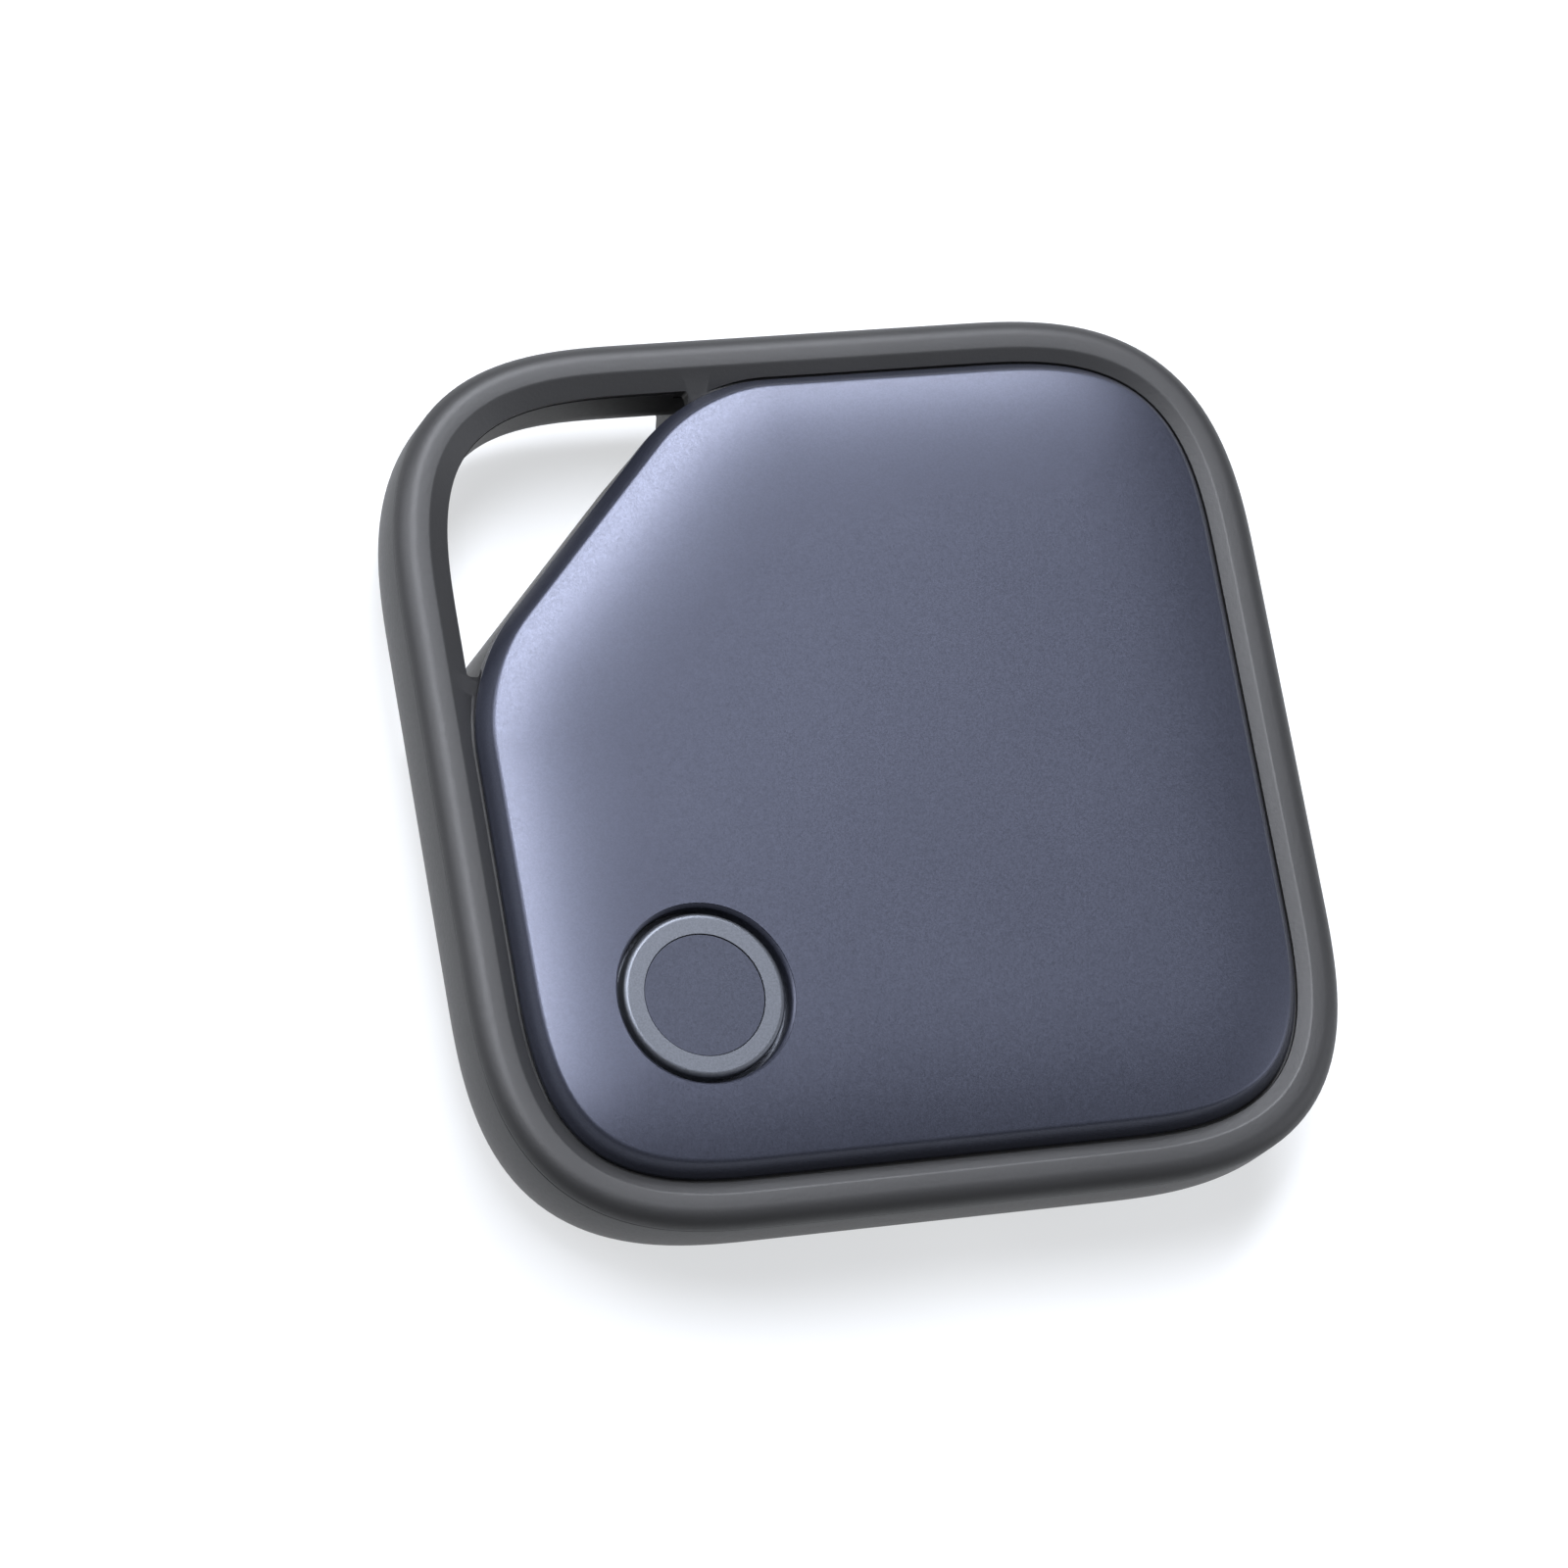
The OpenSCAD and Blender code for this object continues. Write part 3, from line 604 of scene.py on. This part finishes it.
# %% Door seat and hole through the shell
seat_r = 12.5
seat_ease = 0.1
seat_z = 1.05
bayonet_r = 11.1
bayonet_z = 2.35
seat = [(0, -1), (seat_r + seat_ease, -1), (seat_r, 0.08), (seat_r, seat_z),
        (bayonet_r, seat_z), (bayonet_r, bayonet_z), (cell_r, bayonet_z),
        (cell_r, crown_z), (0, crown_z)]
combine(dish, lathe(seat, origin))
flare_w = 1.0
flare_r = 3.6
flare_z = 4.2
hole_gap = 0.03
web_gap = 0.02
tip_gap = 0.5
flare_turn = 180 / pi * acos((flare_r - flare_w) / flare_r)
flare_low = flare_z - flare_r * sin(radians(flare_turn))
flare = arc((flare_w - flare_r, flare_z), flare_r, -flare_turn, 0, 12)
shell_bar, _ = stack(body_outline, loop_w + hole_gap - flare_w, flare_low,
                     flare + [(flare_w, crown_z)], [(0, below_all)])
combine(dish, loop_hole(shell_bar, loop_web + web_gap, loop_tip - tip_gap))
finish_piece(dish, shell_abs, "case", "rear_shell")

# %% [markdown]
# ## Front cover
# The cover stands up from the frame on a short wall, leans in over a bevel to a crisp crease,
# and then swells like a pillow. The swell is steepest at the crease and dies away towards the
# middle, which is what makes the light fade over the first few millimetres.
# The outer rings are insets; further in they only shrink, since an inset would fold up there.

# %% Front cover
crease_inset = 2.58
crease_z = 7.55
swell_w = 9.0
swell_power = 5
round_r = 0.14
wall_rise = 0.25
foot_ease = 0.03
pillow_runs = [0.08, 0.14, 0.25, 0.45, 0.7, 1.0, 1.4, 1.8, 2.3, 2.8, 3.3, 3.8]


def swell(inset):
    """Height of the pillow at a distance in from the outer edge."""
    run = min(1, max(0, (inset - crease_inset) / swell_w))
    return crown_z - (crown_z - crease_z) * (1 - run) ** swell_power


def cover_section():
    """Wall, bevel and pillow, as insets from the cover's own side."""
    wall_top = cover_z + wall_rise
    bevel_run = crease_inset - cover_inset
    bevel_rise = crease_z - wall_top
    ease = round_r / sqrt(bevel_run ** 2 + bevel_rise ** 2)
    below = (bevel_run * (1 - ease), crease_z - bevel_rise * ease)
    crease = [(bevel_run - 0.015, crease_z - 0.045), (bevel_run + 0.03, crease_z - 0.006)]
    pillow = [(bevel_run + run, swell(crease_inset + run)) for run in pillow_runs]
    return [(0, wall_top - 0.04), (0.008, wall_top), below] + crease + pillow


def shrink(bm, face, z, insets):
    """Carries the pillow on with rings that shrink towards the middle."""
    for near, far in zip(insets, insets[1:]):
        bmesh.ops.inset_region(bm, faces=[face], thickness=0, depth=swell(far) - z,
                               use_boundary=True, use_even_offset=True)
        z = swell(far)
        factor = (half - far) / (half - near)
        bmesh.ops.scale(bm, verts=face.verts[:], vec=(factor, factor, 1))


cover_solid, lid = stack(cover_outline, cover_inset, cover_z + foot_ease, cover_section(),
                         [(foot_ease, cover_z)])
last = crease_inset + pillow_runs[-1]
rings = [last + k * 0.65 for k in range(9)]
shrink(cover_solid, lid, swell(last), rings)
panel = as_object(cover_solid, "cover_panel")

# %% Hollow and button well
roof_z = 7.0
hollow_inset = 3.95
collar_z = 6.6
collar_w = 5.2
well_r = 3.68
flange_room = 4.45
fine_steps = 144
hollow_solid, _ = stack(cover_outline, hollow_inset, 6.0, [(0, roof_z)])
hollow = as_object(hollow_solid, "hollow")
collar = [(0, collar_z), (collar_w, collar_z), (collar_w, crown_z), (0, crown_z)]
combine(hollow, lathe(collar, button_at))
combine(panel, back_to_solid(hollow))
well = [(0, 5), (flange_room, 5), (flange_room, roof_z), (well_r, roof_z),
        (well_r, crown_z - 0.22), (well_r + 0.02, crown_z - 0.15),
        (well_r + 0.07, crown_z - 0.08), (well_r + 0.15, crown_z - 0.03),
        (well_r + 0.24, crown_z + 0.2), (0, crown_z + 0.2)]
combine(panel, lathe(well, button_at, fine_steps))
finish_piece(panel, cover_paint, "case", "front_cover")

# %% [markdown]
# ## Button
# The cap is a turned ring with a flange under the cover, and a painted disc sits in a recess
# in its top, a hair below the rim. Both are turned parts, so a profile is spun round the axis,
# and the profile itself carries the rounded edges.

# %% Button
cap_z = cap_high.z
cap_r = 3.45
inlay_low, inlay_high = box_mm("button_inlay")
inlay_r = (inlay_high.x - inlay_low.x) / 2
flange_r = (cap_high.x - cap_low.x) / 2
flange_top = cap_low.z + 0.33
recess = inlay_low.z
recess_r = inlay_r + 0.02
cap_foot = [(0, cap_low.z), (flange_r, cap_low.z), (flange_r, flange_top), (cap_r, flange_top)]
cap_rounding = [(cap_r, cap_z - 0.24), (cap_r, cap_z - 0.2), (cap_r - 0.015, cap_z - 0.12),
                (cap_r - 0.06, cap_z - 0.06), (cap_r - 0.12, cap_z - 0.015),
                (cap_r - 0.2, cap_z), (cap_r - 0.23, cap_z)]
cap_recess = [(recess_r + 0.03, cap_z), (recess_r + 0.01, cap_z), (recess_r, cap_z - 0.01),
              (recess_r, recess), (0, recess)]
cap = as_object(lathe(cap_foot + cap_rounding + cap_recess, button_at, fine_steps), "button_ring")
finish_piece(cap, ring_metal, "button", "button_cap")

disc_ease = 0.015
disc_profile = [(0, recess), (inlay_r, recess), (inlay_r, inlay_high.z - disc_ease),
                (inlay_r - disc_ease, inlay_high.z), (inlay_r - 0.04, inlay_high.z),
                (0, inlay_high.z)]
disc = as_object(lathe(disc_profile, button_at, fine_steps), "button_disc")
finish_piece(disc, inlay_paint, "button", "button_inlay")

# %% [markdown]
# ## The parts inside
# The frame's own solids already have the right shape for the board, the sounder, the cell
# and the door. They only need their real finishes.

# %% Finishes for the frame's parts
finishes = {
    "cover_tape": foam_tape, "button_seal": silicone, "main_board": green_mask,
    "board_screws": plated_steel, "bluetooth_chip": chip_epoxy, "main_crystal": plated_steel,
    "clock_crystal": plated_steel, "chip_antenna": antenna_ceramic,
    "motion_sensor": chip_epoxy, "board_passives": tan_ceramic, "switch_base": switch_nylon,
    "switch_plunger": plunger_nylon, "switch_frame": plated_steel,
    "piezo_adhesive": glue_film, "piezo_plate": sheet_brass, "piezo_ceramic": fired_ceramic,
    "piezo_contacts": gold_plate, "cell_can": cell_steel, "cell_gasket": gasket_polymer,
    "cell_cap": cell_steel, "positive_contact": gold_plate, "negative_contact": gold_plate,
    "battery_door": door_abs, "door_seal": seal_rubber,
}
for node, material in finishes.items():
    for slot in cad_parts[node].material_slots:
        slot.material = material
print("frame parts with a finish:", len(finishes))

# %% [markdown]
# ## Table, lights and camera
# The tag lies on a white table whose material glows a little, painted light that keeps its
# shadow pale. A long strip light high beyond the loop side draws the sheen on every
# face that leans that way, and the flat middle mirrors the darker room. Two weaker lights
# lift the bead on the near side and the far side. The camera looks down over one corner.

# %% Table
table_reach = 1.5
table_gap = 0.02 * MM
table_mesh = bmesh.new()
bmesh.ops.create_grid(table_mesh, x_segments=1, y_segments=1, size=table_reach)
bmesh.ops.translate(table_mesh, verts=table_mesh.verts, vec=(0, 0, -table_gap))
table = as_object(table_mesh, "table")
opal = glowing_acrylic("opal_acrylic_painted_glow", "#999a9b", "#9c9d9e", glow=1.9)
table.data.materials.append(opal)
print(f"table: {2 * table_reach:.0f} m wide")

# %% Lights
subject = Vector((-3.08, 0.09, 4.0)) * MM


def soft_light(name, direction, distance, width, height, power, along):
    """An area light that looks at the tag from a direction, with its width along another."""
    lamp = bpy.data.lights.new(name, "AREA")
    lamp.shape = "RECTANGLE"
    lamp.size = width
    lamp.size_y = height
    lamp.energy = power
    lamp.color = linear("#f4f7ff")[:3]
    stand = bpy.data.objects.new(name, lamp)
    way = Vector(direction).normalized()
    across = way.cross(Vector(along)).normalized()
    turned = Matrix((across.cross(way), across, way)).transposed().to_4x4()
    stand.matrix_world = Matrix.Translation(subject + way * distance) @ turned
    bpy.context.scene.collection.objects.link(stand)


soft_light("key", (0.0, 0.48, 0.87), 0.5, 0.6, 0.15, 6.1, (0.43, 0.37, -0.26))
soft_light("side", (-0.7, 0.4, 0.6), 0.6, 0.4, 0.3, 2.2, (0, 0, 1))
soft_light("fill", (0.85, -0.25, 0.5), 0.8, 0.5, 0.5, 2.0, (0, 0, 1))
world = bpy.data.worlds.new("room")
world.use_nodes = True
world.node_tree.nodes["Background"].inputs["Color"].default_value = linear("#ffffff")
world.node_tree.nodes["Background"].inputs["Strength"].default_value = 0.14
bpy.context.scene.world = world
bpy.context.scene.view_settings.view_transform = "Standard"
print("lights:", len(bpy.data.lights))

# %% Camera
elevation = radians(65.06)
azimuth = radians(-143.62)
roll = radians(45.98)
distance = 296.77 * MM
towards = Vector((cos(elevation) * cos(azimuth), cos(elevation) * sin(azimuth), sin(elevation)))
lens = bpy.data.cameras.new("camera")
lens.lens = 163.74
lens.sensor_width = 36
camera = bpy.data.objects.new("camera", lens)
level = towards.to_track_quat("Z", "Y").to_matrix().to_4x4()
camera.matrix_world = (Matrix.Translation(subject + towards * distance) @ level
                       @ Matrix.Rotation(roll, 4, "Z"))
bpy.context.scene.collection.objects.link(camera)
bpy.context.scene.camera = camera
print(f"camera: {lens.lens:.0f} mm lens, {distance / MM:.0f} mm away")
